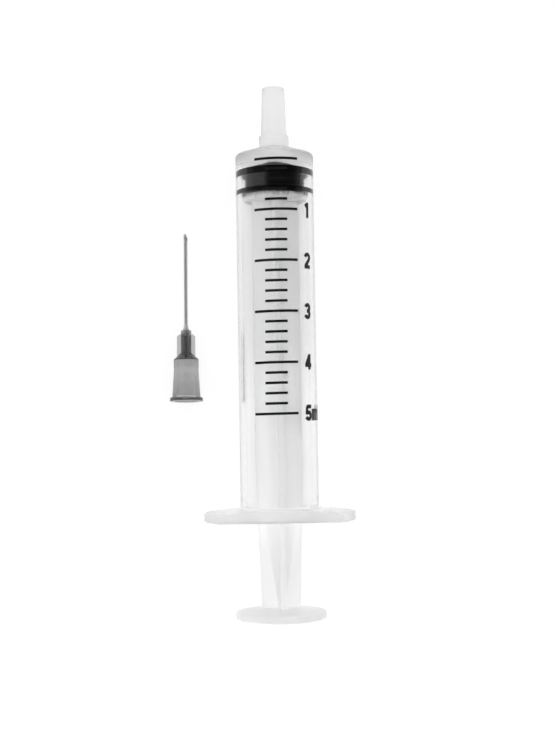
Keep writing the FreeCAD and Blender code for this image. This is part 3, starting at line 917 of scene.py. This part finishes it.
hub_axis = -Vector(mounts["needle_socket"]["axis"])
needle_place = place_on(hub_axis, Vector(mounts["needle_socket"]["pos_m"]))
hub = finished("hub_moulding", hub_solid, needle_place, hub_plastic)
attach(hub, "barrel")
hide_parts("needle_hub")

# Cannula
# A drawn stainless steel tube, glued into the hub's nose. Its point is ground by one long bevel and
# then by two short side facets.

CANNULA_BORE = 0.41 * MM
CANNULA_REACH = 18.0 * MM
CANNULA_LENGTH = HUB_LENGTH - FUNNEL_END + CANNULA_REACH
BEVEL_LENGTH = 1.9 * MM
LANCET_LENGTH = 1.15 * MM
LANCET_TURN = math.radians(40)
BEVEL_ROLL = math.radians(65)

tube = turned([
    (CANNULA_BORE / 2, 0, 0.02 * MM),
    (CANNULA_WIDTH / 2, 0, 0.02 * MM),
    (CANNULA_WIDTH / 2, CANNULA_LENGTH, 0),
    (CANNULA_BORE / 2, CANNULA_LENGTH, 0),
], 64)


def grinding(start, drop, turn):
    """The wedge that a flat of the grinding takes off the point: it falls by the drop over the width."""
    slope = drop / CANNULA_WIDTH
    wedge = slab([
        (start, CANNULA_LENGTH),
        (start + 2 * CANNULA_WIDTH, CANNULA_LENGTH - 2 * CANNULA_WIDTH * slope),
        (start + 2 * CANNULA_WIDTH, CANNULA_LENGTH + MM),
        (start, CANNULA_LENGTH + MM),
    ], 2 * CANNULA_WIDTH)
    bmesh.ops.transform(wedge, matrix=Matrix.Rotation(turn, 4, "Y"), verts=wedge.verts)
    return wedge


lancet_start = -CANNULA_WIDTH / 2 * math.cos(LANCET_TURN)
tube = joined(tube, [
    grinding(-CANNULA_WIDTH / 2, BEVEL_LENGTH, 0),
    grinding(lancet_start, LANCET_LENGTH, LANCET_TURN),
    grinding(lancet_start, LANCET_LENGTH, -LANCET_TURN),
], "DIFFERENCE")

steel = new_material("drawn_steel")
tree = Tree(steel.node_tree)
where = tree.node("ShaderNodeTexCoord", {}, {}, "Object")
drawn = tree.node("ShaderNodeMapping", {"vector_type": "POINT"}, {"Vector": where, "Scale": (1, 0.03, 1)})
lines = tree.node("ShaderNodeTexNoise", {}, {"Vector": drawn, "Scale": 9000.0, "Detail": 2.0})
shade = tree.node("ShaderNodeValToRGB", {"stops": [(0.3, 0.80), (0.7, 0.88)]}, {"Fac": lines})
bump = tree.node("ShaderNodeBump", {}, {"Strength": 0.1, "Distance": 0.01 * MM, "Height": lines})
surface = tree.node("ShaderNodeBsdfPrincipled", {}, {
    "Base Color": shade,
    "Metallic": 0.8,
    "Roughness": lines * 0.15 + 0.45,
    "Normal": bump,
})
tree.node("ShaderNodeOutputMaterial", {}, {"Surface": surface})

cannula_place = (
    needle_place @ Matrix.Translation((0, FUNNEL_END, 0)) @ Matrix.Rotation(-BEVEL_ROLL, 4, "Y")
)
cannula = finished("steel_cannula", tube, cannula_place, steel)
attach(cannula, "barrel")
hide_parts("cannula")

# Adhesive
# A drop of clear glue that fills the well in the hub's nose and climbs the cannula in a small cone.

GLUE_SHOULDER = 0.35 * MM
GLUE_RISE = 1.1 * MM
GLUE_SWELL = 0.12 * MM

glue_solid = turned([
    (CANNULA_WIDTH / 2 - CANNULA_GRIP, HUB_LENGTH - GLUE_DEPTH, 0),
    (GLUE_WELL / 2, HUB_LENGTH, 0.1 * MM),
    (CANNULA_WIDTH / 2 + GLUE_SWELL, HUB_LENGTH + GLUE_SHOULDER, 0.2 * MM),
    (CANNULA_WIDTH / 2 - CANNULA_GRIP, HUB_LENGTH + GLUE_RISE, 0),
], 64)

glue = new_material("clear_glue")
tree = Tree(glue.node_tree)
where = tree.node("ShaderNodeTexCoord", {}, {}, "Object")
cloud = tree.node("ShaderNodeTexNoise", {}, {"Vector": where, "Scale": 1500.0, "Detail": 2.0})
tint = tree.node("ShaderNodeValToRGB", {"stops": [(0.3, 0.82), (0.7, 0.90)]}, {"Fac": cloud})
surface = tree.node("ShaderNodeBsdfPrincipled", {}, {
    "Base Color": tint,
    "Roughness": cloud * 0.1 + 0.08,
    "IOR": 1.5,
    "Transmission Weight": 0.9,
})
clear = lets_lamps_through(tree, surface, 0.95)
tree.node("ShaderNodeOutputMaterial", {}, {"Surface": clear})

bead = finished("glue_bead", glue_solid, needle_place, glue)
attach(bead, "barrel")
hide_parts("adhesive")
